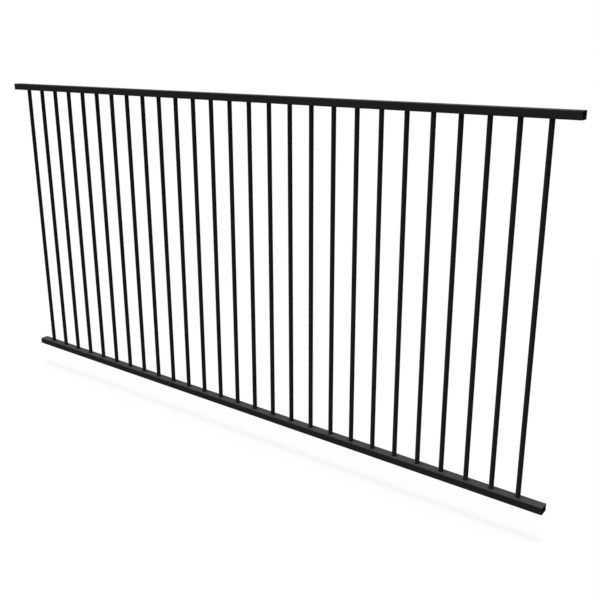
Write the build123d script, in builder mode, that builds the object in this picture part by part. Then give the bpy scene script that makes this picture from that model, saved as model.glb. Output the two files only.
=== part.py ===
from build123d import *
import os

# A flat-top pool fence panel: two open-ended box rails joined by a row of round tube pickets.
# Millimetres. X runs along the panel, -Y is the front, +Z is up. The origin is on the underside
# of the bottom rail, at the middle of its length and depth, where the panel rests in its brackets.

# Overall size, rail end to rail end and underside to top
panel_width = 2450.0
panel_height = 1200.0

# Box rail, laid with its wide side flat
rail_depth = 35.0
rail_height = 25.0
rail_wall = 1.2
rail_corner_radius = 1.5
rail_inner_radius = 0.5

# Round tube pickets, spread evenly between the two end ones. The rails are cut from punched stock, so
# one end runs on a little further past its last picket than the other.
picket_count = 27
picket_diameter = 16.0
picket_wall = 1.0
left_overhang = 78.0
right_overhang = 84.0

# Punched holes, each with a few flats in place of a circle, since the edge is hidden at the picket's
# foot and a row of many-sided holes is heavy. The clearance is from the picket to each flat.
punch_clearance = 0.15
punch_sides = 16

# Places that follow from the sizes
picket_pitch = (panel_width - left_overhang - right_overhang) / (picket_count - 1)
first_picket = -panel_width / 2 + left_overhang
picket_places = [(first_picket + step * picket_pitch, 0) for step in range(picket_count)]
picket_radius = picket_diameter / 2
punch_radius = picket_radius + punch_clearance
rail_left_end = Plane.YZ.offset(-panel_width / 2)
bottom_rail_middle = rail_height / 2
bottom_rail_top = rail_height
top_rail_middle = panel_height - rail_height / 2
top_rail_underside = panel_height - rail_height
picket_foot = rail_wall
picket_head = panel_height - rail_wall


def rail_section(middle_height):
    """The rounded rectangle of a rail's tube, hollow right through, centred at a height."""
    with BuildSketch(rail_left_end) as section:
        with Locations((0, middle_height)):
            RectangleRounded(rail_depth, rail_height, rail_corner_radius)
            RectangleRounded(
                rail_depth - 2 * rail_wall,
                rail_height - 2 * rail_wall,
                rail_inner_radius,
                mode=Mode.SUBTRACT,
            )
    return section.sketch


def punched_row(wall_bottom):
    """The row of holes that the pickets enter by, drawn at the bottom of the punched wall."""
    with BuildSketch(Plane.XY.offset(wall_bottom)) as row:
        with Locations(*picket_places):
            RegularPolygon(punch_radius, punch_sides, major_radius=False)
    return row.sketch


# Bottom rail, its upper wall punched for the pickets
with BuildPart() as bottom_rail:
    extrude(rail_section(bottom_rail_middle), amount=panel_width)
    extrude(punched_row(bottom_rail_top - rail_wall), amount=rail_wall, mode=Mode.SUBTRACT)
bottom_rail.part.label = "bottom_rail"

# Top rail, its lower wall punched for the pickets
with BuildPart() as top_rail:
    extrude(rail_section(top_rail_middle), amount=panel_width)
    extrude(punched_row(top_rail_underside), amount=rail_wall, mode=Mode.SUBTRACT)
top_rail.part.label = "top_rail"

# Pickets, each through both punched walls and seated on the far wall of either rail
pickets = []
for place in picket_places:
    with BuildPart() as picket:
        with BuildSketch(Plane.XY.offset(picket_foot)):
            with Locations(place):
                Circle(picket_radius)
                Circle(picket_radius - picket_wall, mode=Mode.SUBTRACT)
        extrude(amount=picket_head - picket_foot)
    picket.part.label = f"picket_{len(pickets) + 1:02d}"
    pickets.append(picket.part)

# One file for each piece
os.makedirs("parts", exist_ok=True)
export_step(bottom_rail.part, "parts/bottom_rail.step")
export_step(top_rail.part, "parts/top_rail.step")
for tube in pickets:
    export_step(tube, f"parts/{tube.label}.step")
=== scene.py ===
# %% [markdown]
# A flat-top pool fence panel is two box rails and a row of round pickets, all aluminium tube under
# one black powder coat. The construction model already fixes every size and place, so it is loaded
# first and never moved. Blender then gives each tube its real wall, corners and finish. Starting
# from the frame, and not from a drawing, means that every piece lands where it is fastened.

# %% Load the frame
import math

import bpy
from mathutils import Matrix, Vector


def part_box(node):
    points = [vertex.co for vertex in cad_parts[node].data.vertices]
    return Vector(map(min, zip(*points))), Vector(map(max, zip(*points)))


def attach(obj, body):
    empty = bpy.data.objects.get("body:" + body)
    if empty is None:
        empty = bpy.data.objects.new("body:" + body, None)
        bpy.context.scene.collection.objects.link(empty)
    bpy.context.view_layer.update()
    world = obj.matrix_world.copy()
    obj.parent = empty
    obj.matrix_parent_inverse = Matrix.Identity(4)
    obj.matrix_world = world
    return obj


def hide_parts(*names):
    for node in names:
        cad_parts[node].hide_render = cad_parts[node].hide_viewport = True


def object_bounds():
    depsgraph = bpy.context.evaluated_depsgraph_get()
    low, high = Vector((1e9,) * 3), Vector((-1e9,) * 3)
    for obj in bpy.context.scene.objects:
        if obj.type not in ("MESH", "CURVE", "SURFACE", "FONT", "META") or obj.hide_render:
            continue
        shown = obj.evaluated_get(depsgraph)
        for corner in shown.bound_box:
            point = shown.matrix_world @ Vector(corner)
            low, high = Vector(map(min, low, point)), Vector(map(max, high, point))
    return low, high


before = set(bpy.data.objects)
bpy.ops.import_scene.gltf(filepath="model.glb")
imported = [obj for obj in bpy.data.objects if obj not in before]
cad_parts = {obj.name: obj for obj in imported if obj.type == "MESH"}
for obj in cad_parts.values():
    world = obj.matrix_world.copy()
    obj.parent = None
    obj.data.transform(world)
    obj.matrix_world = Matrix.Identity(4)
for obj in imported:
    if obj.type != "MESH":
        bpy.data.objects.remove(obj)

cad_low, cad_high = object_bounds()
print("frame box in metres:", tuple(cad_low), tuple(cad_high))

# %% [markdown]
# The pieces are named in the frame, so their sizes are read from it and not typed again. Only what
# a box can't tell, such as the thickness of a wall, is a value here. All lengths are in metres.

# %% Read the sizes from the frame
RAIL_WALL = 0.0012
PICKET_WALL = 0.0010

RAIL_NAMES = ("bottom_rail", "top_rail")
PICKET_NAMES = sorted(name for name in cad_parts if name.startswith("picket"))


def middle_of(node):
    """The centre of a node's box."""
    low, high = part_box(node)
    return (low + high) / 2


def size_of(node):
    """The three sides of a node's box."""
    low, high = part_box(node)
    return high - low


rail_size = size_of("bottom_rail")
picket_radius = size_of(PICKET_NAMES[0]).x / 2
bottom_rail_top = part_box("bottom_rail")[1].z
top_rail_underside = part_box("top_rail")[0].z
print("rail", tuple(round(side, 4) for side in rail_size), "pickets", len(PICKET_NAMES))

# %% [markdown]
# The picture is taken from beyond the panel's right-hand end, a little above its top rail, looking
# down and to the left. The camera comes before the materials, because a finish is judged at the
# size at which it shows. Its turn is two angles, in the order in which a tripod moves: round, then
# down. The picture is trimmed a little off centre, so the lens is shifted by as much.

# %% Set up the camera
CAMERA_PLACE = (1.8782, -2.1181, 1.3650)
CAMERA_ROUND = math.radians(36.302)
CAMERA_DOWN = math.radians(17.383)
PICTURE_SIDE = 600
FOCAL_IN_PIXELS = 789.8
SENSOR_WIDTH = 36.0
LENS_SHIFT = (-0.0078, -0.0152)

camera_data = bpy.data.cameras.new("studio_camera")
camera = bpy.data.objects.new("studio_camera", camera_data)
bpy.context.scene.collection.objects.link(camera)
camera_data.sensor_width = SENSOR_WIDTH
camera_data.lens = FOCAL_IN_PIXELS / PICTURE_SIDE * SENSOR_WIDTH
camera_data.shift_x, camera_data.shift_y = LENS_SHIFT
turn = Matrix.Rotation(CAMERA_ROUND, 4, "Z") @ Matrix.Rotation(math.pi / 2 - CAMERA_DOWN, 4, "X")
camera.location = CAMERA_PLACE
camera.rotation_euler = turn.to_euler()
bpy.context.scene.camera = camera
print("lens", round(camera_data.lens, 2), "mm")

# %% [markdown]
# A few helpers do what a hand does in edit mode: let go of everything, then pick faces, edges or
# points by where they are. An operator works on all that is selected, and a fresh primitive
# arrives selected all over, so letting go first is what keeps an operator to one piece.

# %% Helpers for modelling
SELECT_MODES = {"vertices": "VERT", "edges": "EDGE", "polygons": "FACE"}
INWARDS = -1


def start_fresh():
    """Lets go of every object, so that the next operator touches one piece only."""
    bpy.ops.object.select_all(action="DESELECT")


def make_active(piece):
    """Selects one piece alone and makes it the active one."""
    start_fresh()
    piece.select_set(True)
    bpy.context.view_layer.objects.active = piece


def pick(piece, kind, wanted):
    """In edit mode, selects the elements of one kind for which wanted(element) is true."""
    bpy.ops.mesh.select_mode(type=SELECT_MODES[kind])
    bpy.ops.mesh.select_all(action="DESELECT")
    bpy.ops.object.mode_set(mode="OBJECT")
    for element in getattr(piece.data, kind):
        element.select = bool(wanted(element))
    bpy.ops.object.mode_set(mode="EDIT")


def apply_place(piece):
    """Puts the piece's place, turn and size into its mesh, and leaves its object at the origin."""
    make_active(piece)
    bpy.ops.object.transform_apply(location=True, rotation=True, scale=True)


def give_wall(piece, thickness):
    """Turns a thin sleeve into a tube, with its wall on the inside of the sleeve."""
    make_active(piece)
    wall = piece.modifiers.new("wall", "SOLIDIFY")
    wall.thickness = thickness
    wall.offset = INWARDS
    wall.use_even_offset = True
    bpy.ops.object.modifier_apply(modifier=wall.name)


# %% [markdown]
# Rounded edges should be shaded smooth while flats stay dead flat. Smooth shading alone bends the
# light across a long flat, because its corner normals lean into the rounded edges. Weighting the
# normals by face area lets the big flats win, which is how a drawn tube looks.

# %% Shade round parts smooth and flats flat
SMOOTH_BELOW = math.radians(40)
LARGEST_FACE_WINS = 100


def shade_like_tube(piece):
    """Smooths what is round, keeps what is sharp and holds the flats flat."""
    make_active(piece)
    bpy.ops.object.shade_smooth_by_angle(angle=SMOOTH_BELOW)
    weighted = piece.modifiers.new("flat faces", "WEIGHTED_NORMAL")
    weighted.keep_sharp = True
    weighted.weight = LARGEST_FACE_WINS
    bpy.ops.object.modifier_apply(modifier=weighted.name)


# %% [markdown]
# A rail is a box tube. It could be drawn as a section and extruded, but starting from a cube at
# its real size keeps the outline exact: the two end faces are deleted, the four long edges are
# rounded, and the sleeve gets its wall inwards, so the outside never grows.

# %% Model a rail's tube
RAIL_CORNER = 0.0015
CORNER_STEPS = 6
ENDWISE = 0.9


def rail_tube(name, node):
    """An open-ended box tube with rounded long edges, as large as the node it stands for."""
    start_fresh()
    bpy.ops.mesh.primitive_cube_add(size=1, location=middle_of(node), scale=size_of(node))
    tube = bpy.context.active_object
    tube.name = tube.data.name = name
    apply_place(tube)
    bpy.ops.object.mode_set(mode="EDIT")
    pick(tube, "polygons", lambda face: abs(face.normal.x) > ENDWISE)
    bpy.ops.mesh.delete(type="ONLY_FACE")

    def is_long(edge):
        start, end = (tube.data.vertices[index].co for index in edge.vertices)
        return abs(start.x - end.x) > rail_size.x / 2

    pick(tube, "edges", is_long)
    bpy.ops.mesh.bevel(offset=RAIL_CORNER, segments=CORNER_STEPS, affect="EDGES")
    bpy.ops.object.mode_set(mode="OBJECT")
    give_wall(tube, RAIL_WALL)
    return tube


# %% [markdown]
# A sawn tube end is filed before it is coated, so its rim has a hair-thin chamfer that catches the
# light. Without it a cut end looks like folded paper. Blender can find the sharp edges by itself,
# and of those only the ones in the two end planes are bevelled.

# %% Break the edges of the cut ends
CUT_EDGE_BREAK = 0.00025
CUT_EDGE_STEPS = 2
END_PLANE_SLACK = 1e-5
SHARP_ABOVE = math.radians(60)


def break_cut_ends(tube, node):
    """Files the inner and outer edges of both cut ends."""
    low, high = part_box(node)
    make_active(tube)
    bpy.ops.object.mode_set(mode="EDIT")
    bpy.ops.mesh.select_mode(type="EDGE")
    bpy.ops.mesh.select_all(action="DESELECT")
    bpy.ops.mesh.edges_select_sharp(sharpness=SHARP_ABOVE)
    bpy.ops.object.mode_set(mode="OBJECT")
    sharp = {edge.index for edge in tube.data.edges if edge.select}
    bpy.ops.object.mode_set(mode="EDIT")

    def at_an_end(edge):
        reaches = [tube.data.vertices[index].co.x for index in edge.vertices]
        at_left = all(abs(reach - low.x) < END_PLANE_SLACK for reach in reaches)
        at_right = all(abs(reach - high.x) < END_PLANE_SLACK for reach in reaches)
        return edge.index in sharp and (at_left or at_right)

    pick(tube, "edges", at_an_end)
    bpy.ops.mesh.bevel(offset=CUT_EDGE_BREAK, segments=CUT_EDGE_STEPS, affect="EDGES")
    bpy.ops.object.mode_set(mode="OBJECT")


# %% [markdown]
# Before the pickets go in, one wall of each rail is punched with a row of round holes. A boolean
# with one cutter made of all the punches is the closest thing to the press that does it. The punch
# only reaches through the near wall, so the far wall stays whole and is what the pickets sit on.

# %% Punch a rail
PUNCH_CLEARANCE = 0.00015
PUNCH_SIDES = 48
PUNCH_REACH = 3 * RAIL_WALL


def punch_row(tube, wall_height):
    """Cuts a round hole for each picket through the wall whose middle is at wall_height."""
    punches = []
    for picket in PICKET_NAMES:
        place = middle_of(picket)
        start_fresh()
        bpy.ops.mesh.primitive_cylinder_add(
            vertices=PUNCH_SIDES,
            radius=picket_radius + PUNCH_CLEARANCE,
            depth=PUNCH_REACH,
            location=(place.x, place.y, wall_height),
        )
        punches.append(bpy.context.active_object)
    start_fresh()
    for punch in punches:
        punch.select_set(True)
    bpy.context.view_layer.objects.active = punches[0]
    bpy.ops.object.join()
    cutter = bpy.context.active_object
    make_active(tube)
    cut = tube.modifiers.new("punched holes", "BOOLEAN")
    cut.operation = "DIFFERENCE"
    cut.solver = "EXACT"
    cut.object = cutter
    bpy.ops.object.modifier_apply(modifier=cut.name)
    bpy.data.objects.remove(cutter)


# %% [markdown]
# The two rails are cut from the same tube and punched on one side only: the bottom rail in its top
# and the top rail in its underside, so that both rows of holes face the pickets. The order is that
# of the workshop: form the tube, file its cut ends, then punch it. The shading comes last, because
# it has to see every face.

# %% Make the two rails
rails = {}
for node in RAIL_NAMES:
    rail = rail_tube("coated_" + node, node)
    break_cut_ends(rail, node)
    punched_wall = bottom_rail_top - RAIL_WALL / 2
    if node == "top_rail":
        punched_wall = top_rail_underside + RAIL_WALL / 2
    punch_row(rail, punched_wall)
    shade_like_tube(rail)
    rails[node] = rail
    print(rail.name, len(rail.data.polygons), "faces")

# %% [markdown]
# A picket is a plain round tube from one rail's far wall to the other's. Where it leaves a rail,
# the melted powder bridges the hairline gap round it and sets as a fine hollow fillet. The tube is
# cut across at a few heights near each rail, all of them before any is moved, so that each cut ring
# is at the tube's own size. Each ring is then spread along a quarter circle, to land flush on the
# rail. Under the rail's skin the tube keeps its own size, which is what fits the punched hole.

# %% Model one picket
PICKET_SIDES = 64
FILLET_RADIUS = 0.0007
FILLET_STEPS = 4
UNDER_SKIN = 0.00005
RING_SLACK = UNDER_SKIN / 5
UP, DOWN = 1, -1


def fillet_rings():
    """Where the tube is cut across, as pairs of a height and how far its outside spreads there."""
    rings = []
    for skin, away in ((bottom_rail_top, UP), (top_rail_underside, DOWN)):
        rings.append((skin - away * UNDER_SKIN, 0))
        for step in range(FILLET_STEPS + 1):
            round_by = math.pi / 2 * step / FILLET_STEPS
            rise = FILLET_RADIUS * (1 - math.cos(round_by))
            spread = FILLET_RADIUS * (1 - math.sin(round_by))
            rings.append((skin + away * rise, spread))
    return rings


def cut_across(tube, place, height):
    """Cuts both skins of the tube across at a height. In edit mode."""
    bpy.ops.mesh.select_all(action="SELECT")
    bpy.ops.mesh.bisect(plane_co=(place.x, place.y, height), plane_no=(0, 0, 1))


def spread_ring(tube, place, height, spread):
    """Widens the outer ring of points at a height. In edit mode."""

    def on_the_ring(point):
        at_height = abs(point.co.z - height) < RING_SLACK
        from_axis = math.hypot(point.co.x - place.x, point.co.y - place.y)
        return at_height and from_axis > picket_radius - PICKET_WALL / 2

    pick(tube, "vertices", on_the_ring)
    wider = (picket_radius + spread) / picket_radius
    bpy.ops.transform.resize(value=(wider, wider, 1), center_override=(place.x, place.y, height))


def picket_tube(node):
    """One open round tube, with the coat's fillet where it leaves each rail."""
    place = middle_of(node)
    start_fresh()
    bpy.ops.mesh.primitive_cylinder_add(
        vertices=PICKET_SIDES,
        radius=picket_radius,
        depth=size_of(node).z,
        end_fill_type="NOTHING",
        location=place,
    )
    tube = bpy.context.active_object
    apply_place(tube)
    give_wall(tube, PICKET_WALL)
    bpy.ops.object.mode_set(mode="EDIT")
    for height, spread in fillet_rings():
        cut_across(tube, place, height)
    for height, spread in fillet_rings():
        if spread > 0:
            spread_ring(tube, place, height, spread)
    bpy.ops.object.mode_set(mode="OBJECT")
    return tube


# %% [markdown]
# The pickets are all alike, so one is modelled and copied along the row. Each copy gets its own
# mesh with its place in it, as if it had been modelled there.

# %% Copy the picket along the row
first = PICKET_NAMES[0]
pattern = picket_tube(first)
shade_like_tube(pattern)
pattern.name = pattern.data.name = "coated_" + first
pickets = {first: pattern}
for node in PICKET_NAMES[1:]:
    copy = pattern.copy()
    copy.data = pattern.data.copy()
    copy.name = copy.data.name = "coated_" + node
    copy.data.transform(Matrix.Translation(middle_of(node) - middle_of(first)))
    bpy.context.scene.collection.objects.link(copy)
    pickets[node] = copy
print("pickets", len(pickets), "faces each", len(pattern.data.polygons))

# %% [markdown]
# A finish is built from a few effects, and each effect is a node group, so that the rails and the
# pickets share it and differ only in the values they pass in. These helpers keep the wiring short.

# %% Helpers for materials
FLOAT, VECTOR = "NodeSocketFloat", "NodeSocketVector"
NOISE_MIDDLE = 0.5


def new_effect(name, inputs, outputs):
    """An empty node group with named sockets. Returns it with its two end nodes."""
    effect = bpy.data.node_groups.new(name, "ShaderNodeTree")
    for label, kind, value in inputs:
        socket = effect.interface.new_socket(name=label, in_out="INPUT", socket_type=kind)
        if value is not None:
            socket.default_value = value
    for label, kind in outputs:
        effect.interface.new_socket(name=label, in_out="OUTPUT", socket_type=kind)
    return effect, effect.nodes.new("NodeGroupInput"), effect.nodes.new("NodeGroupOutput")


def feed(tree, socket, source):
    """Links a socket to another node's output, or gives it a plain value."""
    if isinstance(source, bpy.types.NodeSocket):
        tree.links.new(source, socket)
    else:
        socket.default_value = source


def calculate(tree, operation, *sources):
    """A Math node on one to three numbers."""
    node = tree.nodes.new("ShaderNodeMath")
    node.operation = operation
    for socket, source in zip(node.inputs, sources):
        feed(tree, socket, source)
    return node.outputs[0]


def remap(tree, value, from_low, from_high, to_low, to_high):
    """A smooth Map Range node, held inside its two ends."""
    node = tree.nodes.new("ShaderNodeMapRange")
    node.interpolation_type = "SMOOTHSTEP"
    for label, source in (
        ("Value", value),
        ("From Min", from_low),
        ("From Max", from_high),
        ("To Min", to_low),
        ("To Max", to_high),
    ):
        feed(tree, node.inputs[label], source)
    return node.outputs["Result"]


def place_effect(tree, effect, **values):
    """Puts an effect into a material and sets its named inputs."""
    node = tree.nodes.new("ShaderNodeGroup")
    node.node_tree = effect
    for label, source in values.items():
        feed(tree, node.inputs[label.replace("_", " ")], source)
    return node


# %% [markdown]
# Powder is sprayed on dry and melted in an oven. It never flows quite flat, and sets with a soft
# pebbling called orange peel: low bumps a millimetre or two across and about a hundredth of one
# high. Noise at that size gives the height, in metres, for a bump node, so it stays true at any
# distance. Most of the noise lies near its middle value, so its whole range is ten times as high.

# %% Effect: orange peel
orange_peel, start, end = new_effect(
    "orange peel",
    [("Vector", VECTOR, None), ("Pebble Size", FLOAT, 0.0012), ("Pebble Height", FLOAT, 0.0001)],
    [("Height", FLOAT)],
)
pebbles = orange_peel.nodes.new("ShaderNodeTexNoise")
pebbles.inputs["Detail"].default_value = 1.5
pebbles.inputs["Roughness"].default_value = 0.45
orange_peel.links.new(start.outputs["Vector"], pebbles.inputs["Vector"])
pebbles_a_metre = calculate(orange_peel, "DIVIDE", 1.0, start.outputs["Pebble Size"])
orange_peel.links.new(pebbles_a_metre, pebbles.inputs["Scale"])
centred = calculate(orange_peel, "SUBTRACT", pebbles.outputs["Fac"], NOISE_MIDDLE)
pebble_height = calculate(orange_peel, "MULTIPLY", centred, start.outputs["Pebble Height"])
orange_peel.links.new(pebble_height, end.inputs["Height"])
print(orange_peel.name, len(orange_peel.nodes), "nodes")

# %% [markdown]
# Tube is drawn or extruded through a die, which leaves very fine lines along its length. The coat
# softens them, but they still break up a long reflection. Dividing the coordinate by a spacing
# that is long one way and short the other two stretches plain noise into such lines.

# %% Effect: die lines
ALONG_X = (0.3, 0.0007, 0.0007)
ALONG_Z = (0.0007, 0.0007, 0.3)

die_lines, start, end = new_effect(
    "die lines",
    [("Vector", VECTOR, None), ("Spacing", VECTOR, ALONG_X), ("Line Height", FLOAT, 0.00002)],
    [("Height", FLOAT)],
)
stretch = die_lines.nodes.new("ShaderNodeVectorMath")
stretch.operation = "DIVIDE"
die_lines.links.new(start.outputs["Vector"], stretch.inputs[0])
die_lines.links.new(start.outputs["Spacing"], stretch.inputs[1])
lines = die_lines.nodes.new("ShaderNodeTexNoise")
lines.inputs["Scale"].default_value = 1.0
lines.inputs["Detail"].default_value = 2.0
die_lines.links.new(stretch.outputs["Vector"], lines.inputs["Vector"])
centred = calculate(die_lines, "SUBTRACT", lines.outputs["Fac"], NOISE_MIDDLE)
line_height = calculate(die_lines, "MULTIPLY", centred, start.outputs["Line Height"])
die_lines.links.new(line_height, end.inputs["Height"])
print(die_lines.name, len(die_lines.nodes), "nodes")

# %% [markdown]
# The gun doesn't lay the powder quite evenly, and the oven is hotter in places, so gloss drifts a
# little over a hand's width. One slow noise gives a value from 0 to 1 that the materials use for
# both gloss and tone, since on a real coat the two drift together.

# %% Effect: gloss drift
PATCH_LOW = 0.32
PATCH_HIGH = 0.68

gloss_drift, start, end = new_effect(
    "gloss drift",
    [("Vector", VECTOR, None), ("Patch Size", FLOAT, 0.09)],
    [("Value", FLOAT)],
)
patches = gloss_drift.nodes.new("ShaderNodeTexNoise")
patches.inputs["Detail"].default_value = 2.0
patches.inputs["Roughness"].default_value = 0.5
gloss_drift.links.new(start.outputs["Vector"], patches.inputs["Vector"])
patches_a_metre = calculate(gloss_drift, "DIVIDE", 1.0, start.outputs["Patch Size"])
gloss_drift.links.new(patches_a_metre, patches.inputs["Scale"])
drift = remap(gloss_drift, patches.outputs["Fac"], PATCH_LOW, PATCH_HIGH, 0.0, 1.0)
gloss_drift.links.new(drift, end.inputs["Value"])
print(gloss_drift.name, len(gloss_drift.nodes), "nodes")

# %% [markdown]
# Charged powder draws back from sharp edges as it melts, so a coat is thinner and a shade lighter
# along a tube's corners and round its cut ends. On a box, a point is near an edge when two of its
# three distances to the box's sides are small, so the middle one of the three tells how near.

# %% Effect: thin edges
thin_edges, start, end = new_effect(
    "thin edges",
    [("Vector", VECTOR, None), ("Half Size", VECTOR, (1.0, 1.0, 1.0)), ("Band", FLOAT, 0.0015)],
    [("Mask", FLOAT)],
)
fold = thin_edges.nodes.new("ShaderNodeVectorMath")
fold.operation = "ABSOLUTE"
thin_edges.links.new(start.outputs["Vector"], fold.inputs[0])
inset = thin_edges.nodes.new("ShaderNodeVectorMath")
inset.operation = "SUBTRACT"
thin_edges.links.new(start.outputs["Half Size"], inset.inputs[0])
thin_edges.links.new(fold.outputs["Vector"], inset.inputs[1])
sides = thin_edges.nodes.new("ShaderNodeSeparateXYZ")
thin_edges.links.new(inset.outputs["Vector"], sides.inputs[0])
less = calculate(thin_edges, "MINIMUM", sides.outputs["X"], sides.outputs["Y"])
more = calculate(thin_edges, "MAXIMUM", sides.outputs["X"], sides.outputs["Y"])
more_or_z = calculate(thin_edges, "MINIMUM", more, sides.outputs["Z"])
middle_one = calculate(thin_edges, "MAXIMUM", less, more_or_z)
edge_mask = remap(thin_edges, middle_one, 0.0, start.outputs["Band"], 1.0, 0.0)
thin_edges.links.new(edge_mask, end.inputs["Mask"])
print(thin_edges.name, len(thin_edges.nodes), "nodes")

# %% [markdown]
# Inside an open rail the powder drifts in only a short way, then thins out over a ragged stretch
# to bare metal. The depth from the nearest cut end, with noise added, gives that ragged line.

# %% Effect: coat reach
RAGGED_SCALE = 260

coat_reach, start, end = new_effect(
    "coat reach",
    [
        ("Vector", VECTOR, None),
        ("Half Length", FLOAT, 1.0),
        ("Reach", FLOAT, 0.035),
        ("Fade", FLOAT, 0.03),
        ("Raggedness", FLOAT, 0.012),
    ],
    [("Bare", FLOAT)],
)
ragged = coat_reach.nodes.new("ShaderNodeTexNoise")
ragged.inputs["Scale"].default_value = RAGGED_SCALE
ragged.inputs["Detail"].default_value = 4.0
coat_reach.links.new(start.outputs["Vector"], ragged.inputs["Vector"])
along = coat_reach.nodes.new("ShaderNodeSeparateXYZ")
coat_reach.links.new(start.outputs["Vector"], along.inputs[0])
from_middle = calculate(coat_reach, "ABSOLUTE", along.outputs["X"])
depth = calculate(coat_reach, "SUBTRACT", start.outputs["Half Length"], from_middle)
centred = calculate(coat_reach, "SUBTRACT", ragged.outputs["Fac"], NOISE_MIDDLE)
ragged_depth = calculate(coat_reach, "MULTIPLY_ADD", centred, start.outputs["Raggedness"], depth)
faded = calculate(coat_reach, "ADD", start.outputs["Reach"], start.outputs["Fade"])
bare = remap(coat_reach, ragged_depth, start.outputs["Reach"], faded, 0.0, 1.0)
coat_reach.links.new(bare, end.inputs["Bare"])
print(coat_reach.name, len(coat_reach.nodes), "nodes")

# %% [markdown]
# The coat itself is a low-sheen black. It mirrors hardly any light, so a long rail keeps one tone
# from end to end, however it is looked along. That is left to the shader, with a low specular
# level and a wide lobe. The effects only move colour, roughness and height a little, as they do on
# the real thing.

# %% Material: black powder coat
COAT_BLACK = (0.0445, 0.0447, 0.0451, 1)
COAT_BLACK_LIGHT = (0.0475, 0.0477, 0.0481, 1)
COAT_THIN = (0.0560, 0.0562, 0.0566, 1)
COAT_SPECULAR = 0.01
COAT_ROUGHNESS = (0.52, 0.60)


def start_material(name):
    """A node material with its shader and the piece's own coordinates."""
    material = bpy.data.materials.new(name)
    material.use_nodes = True
    tree = material.node_tree
    place = tree.nodes.new("ShaderNodeTexCoord")
    return material, tree, tree.nodes["Principled BSDF"], place.outputs["Object"]


def centre_pattern(tree, place, middle):
    """Moves a pattern's zero to the middle of a piece."""
    mapping = tree.nodes.new("ShaderNodeMapping")
    mapping.inputs["Location"].default_value = -middle
    tree.links.new(place, mapping.inputs["Vector"])
    return mapping.outputs["Vector"]


def blend_colours(tree, share, first_colour, second_colour):
    """Goes from one colour to another by a share from 0 to 1."""
    mix = tree.nodes.new("ShaderNodeMix")
    mix.data_type = "RGBA"
    feed(tree, mix.inputs["Factor"], share)
    colour_inputs = [socket for socket in mix.inputs if socket.type == "RGBA"]
    feed(tree, colour_inputs[0], first_colour)
    feed(tree, colour_inputs[1], second_colour)
    return next(socket for socket in mix.outputs if socket.type == "RGBA")


def add_bump(tree, shader, height):
    """Feeds a height in metres to the shader's normal."""
    bump = tree.nodes.new("ShaderNodeBump")
    bump.inputs["Distance"].default_value = 1.0
    tree.links.new(height, bump.inputs["Height"])
    tree.links.new(bump.outputs["Normal"], shader.inputs["Normal"])


def powder_coat(name, middle, spacing, half_size=None):
    """Black powder coat. With half_size it is thinner along the edges of a box of that size."""
    material, tree, shader, place = start_material(name)
    centred = centre_pattern(tree, place, middle)
    drift = place_effect(tree, gloss_drift, Vector=centred).outputs["Value"]
    colour = blend_colours(tree, drift, COAT_BLACK, COAT_BLACK_LIGHT)
    if half_size is not None:
        edges = place_effect(tree, thin_edges, Vector=centred, Half_Size=half_size)
        colour = blend_colours(tree, edges.outputs["Mask"], colour, COAT_THIN)
    tree.links.new(colour, shader.inputs["Base Color"])
    tree.links.new(remap(tree, drift, 0.0, 1.0, *COAT_ROUGHNESS), shader.inputs["Roughness"])
    peel = place_effect(tree, orange_peel, Vector=centred).outputs["Height"]
    grain = place_effect(tree, die_lines, Vector=centred, Spacing=spacing).outputs["Height"]
    add_bump(tree, shader, calculate(tree, "ADD", peel, grain))
    shader.inputs["Specular IOR Level"].default_value = COAT_SPECULAR
    return material


rail_coats = {}
for node in RAIL_NAMES:
    rail_coats[node] = powder_coat("black_coat_" + node, middle_of(node), ALONG_X, rail_size / 2)
picket_coat = powder_coat("black_coat_pickets", (cad_low + cad_high) / 2, ALONG_Z)
print("coats", [material.name for material in rail_coats.values()], picket_coat.name)

# %% [markdown]
# The bare tube inside is mill-finish aluminium: dull silver, with the die lines plain to see. Near
# the rail's cut ends it still carries the drifted powder, so the same black is mixed in there, and
# both metallic and roughness follow the same mask.

# %% Material: bare tube inside, dusted with powder at the ends
MILL_ALUMINIUM = (0.60, 0.61, 0.62, 1)
BARE_ROUGHNESS = 0.38
POWDER_ROUGHNESS = 0.62
BARE_LINES = 0.00003


def bare_inside(name, spacing):
    """Bare tube that turns to powder coat towards the open ends of the rails."""
    material, tree, shader, place = start_material(name)
    reach = place_effect(tree, coat_reach, Vector=place, Half_Length=rail_size.x / 2)
    bare = reach.outputs["Bare"]
    colour = blend_colours(tree, bare, COAT_BLACK, MILL_ALUMINIUM)
    roughness = remap(tree, bare, 0.0, 1.0, POWDER_ROUGHNESS, BARE_ROUGHNESS)
    tree.links.new(colour, shader.inputs["Base Color"])
    tree.links.new(bare, shader.inputs["Metallic"])
    tree.links.new(roughness, shader.inputs["Roughness"])
    grain = place_effect(tree, die_lines, Vector=place, Spacing=spacing, Line_Height=BARE_LINES)
    add_bump(tree, shader, grain.outputs["Height"])
    shader.inputs["Specular IOR Level"].default_value = COAT_SPECULAR
    return material


rail_inside = bare_inside("bare_rail_inside", ALONG_X)
picket_inside = bare_inside("bare_picket_inside", ALONG_Z)
print("insides", rail_inside.name, picket_inside.name)

# %% [markdown]
# Each tube has two finishes: coat outside and bare metal inside. A face belongs to the inside when
# its middle lies well within the tube's wall. On a rail the line is drawn at three quarters of the
# wall, because the cut end's own face lies at half of it and is coated. On a picket the short
# stretches inside the two rails are bare as well, since no powder reaches them.

# %% Give each face its finish
COAT_SLOT, BARE_SLOT = 0, 1
INSIDE_BEYOND = 0.75


def finish_faces(piece, coat, inside, is_inside):
    """Puts the coat in the first slot, the bare tube in the second, and sorts the faces."""
    piece.data.materials.clear()
    piece.data.materials.append(coat)
    piece.data.materials.append(inside)
    for face in piece.data.polygons:
        face.material_index = BARE_SLOT if is_inside(face.center) else COAT_SLOT


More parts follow.
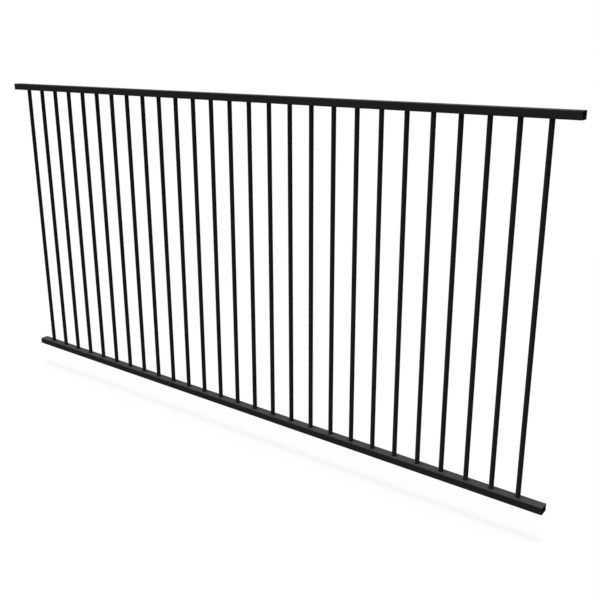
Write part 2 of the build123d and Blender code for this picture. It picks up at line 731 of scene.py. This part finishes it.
for node, rail in rails.items():
    middle = middle_of(node)
    inner_depth = rail_size.y / 2 - RAIL_WALL * INSIDE_BEYOND
    inner_height = rail_size.z / 2 - RAIL_WALL * INSIDE_BEYOND

    def inside_rail(point):
        return abs(point.y - middle.y) < inner_depth and abs(point.z - middle.z) < inner_height

    finish_faces(rail, rail_coats[node], rail_inside, inside_rail)

for node, picket in pickets.items():
    middle = middle_of(node)

    def inside_picket(point):
        from_axis = math.hypot(point.x - middle.x, point.y - middle.y)
        in_bottom_rail = point.z < bottom_rail_top - UNDER_SKIN
        in_top_rail = point.z > top_rail_underside + UNDER_SKIN
        return in_bottom_rail or in_top_rail or from_axis < picket_radius - PICKET_WALL / 2

    finish_faces(picket, picket_coat, picket_inside, inside_picket)

for node, piece in {**rails, **pickets}.items():
    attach(piece, "root")
    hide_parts(node)
print("finished", len(rails) + len(pickets), "pieces")

# %% [markdown]
# The panel hangs clear of the ground, as it does between its posts, over a plain floor. A white
# floor would throw so much light back up that the shaded fronts would turn grey, so this one is
# dim as a source of light. To the camera, and in reflections, it gives off light of its own, just
# enough to lift its lit parts to white and to leave the soft shadow.

# %% Floor
FLOOR_DROP = 0.10
FLOOR_SIDE = 80
FLOOR_COLOUR = (0.06, 0.06, 0.06, 1)
FLOOR_LIFT = 0.905


def seen_directly(tree):
    """1 for rays from the camera and for reflected or refracted ones, 0 for scattered light."""
    path = tree.nodes.new("ShaderNodeLightPath")
    reflected, refracted = path.outputs["Is Glossy Ray"], path.outputs["Is Transmission Ray"]
    either = calculate(tree, "MAXIMUM", reflected, refracted)
    return calculate(tree, "MAXIMUM", path.outputs["Is Camera Ray"], either)


start_fresh()
bpy.ops.mesh.primitive_plane_add(size=FLOOR_SIDE, location=(0, 0, cad_low.z - FLOOR_DROP))
floor = bpy.context.active_object
floor.name = "studio_floor"
floor_material = bpy.data.materials.new("pale_floor")
floor_material.use_nodes = True
tree = floor_material.node_tree
tree.nodes.clear()
paint = tree.nodes.new("ShaderNodeBsdfDiffuse")
paint.inputs["Color"].default_value = FLOOR_COLOUR
lift = tree.nodes.new("ShaderNodeEmission")
feed(tree, lift.inputs["Strength"], calculate(tree, "MULTIPLY", seen_directly(tree), FLOOR_LIFT))
both = tree.nodes.new("ShaderNodeAddShader")
tree.links.new(paint.outputs[0], both.inputs[0])
tree.links.new(lift.outputs[0], both.inputs[1])
out = tree.nodes.new("ShaderNodeOutputMaterial")
tree.links.new(both.outputs[0], out.inputs["Surface"])
floor.data.materials.append(floor_material)
print("floor", FLOOR_SIDE, "m a side,", FLOOR_DROP, "m below the panel")

# %% [markdown]
# Two lamps do most of the work. A soft one straight overhead lights the tops and leaves the fronts
# in shade. A weaker one, lower and to the left, gives each picket a lighter left side and reaches
# in under the top rail, so only the first finger's width below it stays dark. A sun lamp with a
# wide angle is the same as a very large, far softbox, and its light falls evenly from end to end.
# The surroundings are white where they are seen, and dim as a source of light.

# %% Lamps and surroundings
OVERHEAD_STRENGTH = 4.25
OVERHEAD_ANGLE = math.radians(14)
SIDE_STRENGTH = 0.88
SIDE_ANGLE = math.radians(50)
SIDE_TILT_TO_FRONT = math.radians(20)
SIDE_TILT_TO_LEFT = math.radians(41)
SURROUND_LIGHT = 0.165
WHITE = (1, 1, 1, 1)


def softbox(name, strength, angle, tilt_to_front, tilt_to_left):
    """A far, soft lamp, tilted from straight overhead."""
    lamp_data = bpy.data.lights.new(name, "SUN")
    lamp_data.energy = strength
    lamp_data.angle = angle
    lamp = bpy.data.objects.new(name, lamp_data)
    lamp.rotation_euler = (tilt_to_front, -tilt_to_left, 0)
    bpy.context.scene.collection.objects.link(lamp)
    print(name, "strength", strength, "angle", round(math.degrees(angle)), "degrees")


softbox("overhead_softbox", OVERHEAD_STRENGTH, OVERHEAD_ANGLE, 0, 0)
softbox("side_softbox", SIDE_STRENGTH, SIDE_ANGLE, SIDE_TILT_TO_FRONT, SIDE_TILT_TO_LEFT)

world = bpy.data.worlds.new("studio")
bpy.context.scene.world = world
world.use_nodes = True
tree = world.node_tree
tree.nodes.clear()
dim = tree.nodes.new("ShaderNodeBackground")
dim.inputs["Color"].default_value = (SURROUND_LIGHT, SURROUND_LIGHT, SURROUND_LIGHT, 1)
white = tree.nodes.new("ShaderNodeBackground")
white.inputs["Color"].default_value = WHITE
choose = tree.nodes.new("ShaderNodeMixShader")
feed(tree, choose.inputs["Fac"], seen_directly(tree))
tree.links.new(dim.outputs[0], choose.inputs[1])
tree.links.new(white.outputs[0], choose.inputs[2])
out = tree.nodes.new("ShaderNodeOutputWorld")
tree.links.new(choose.outputs[0], out.inputs["Surface"])

bpy.context.scene.view_settings.view_transform = "Standard"
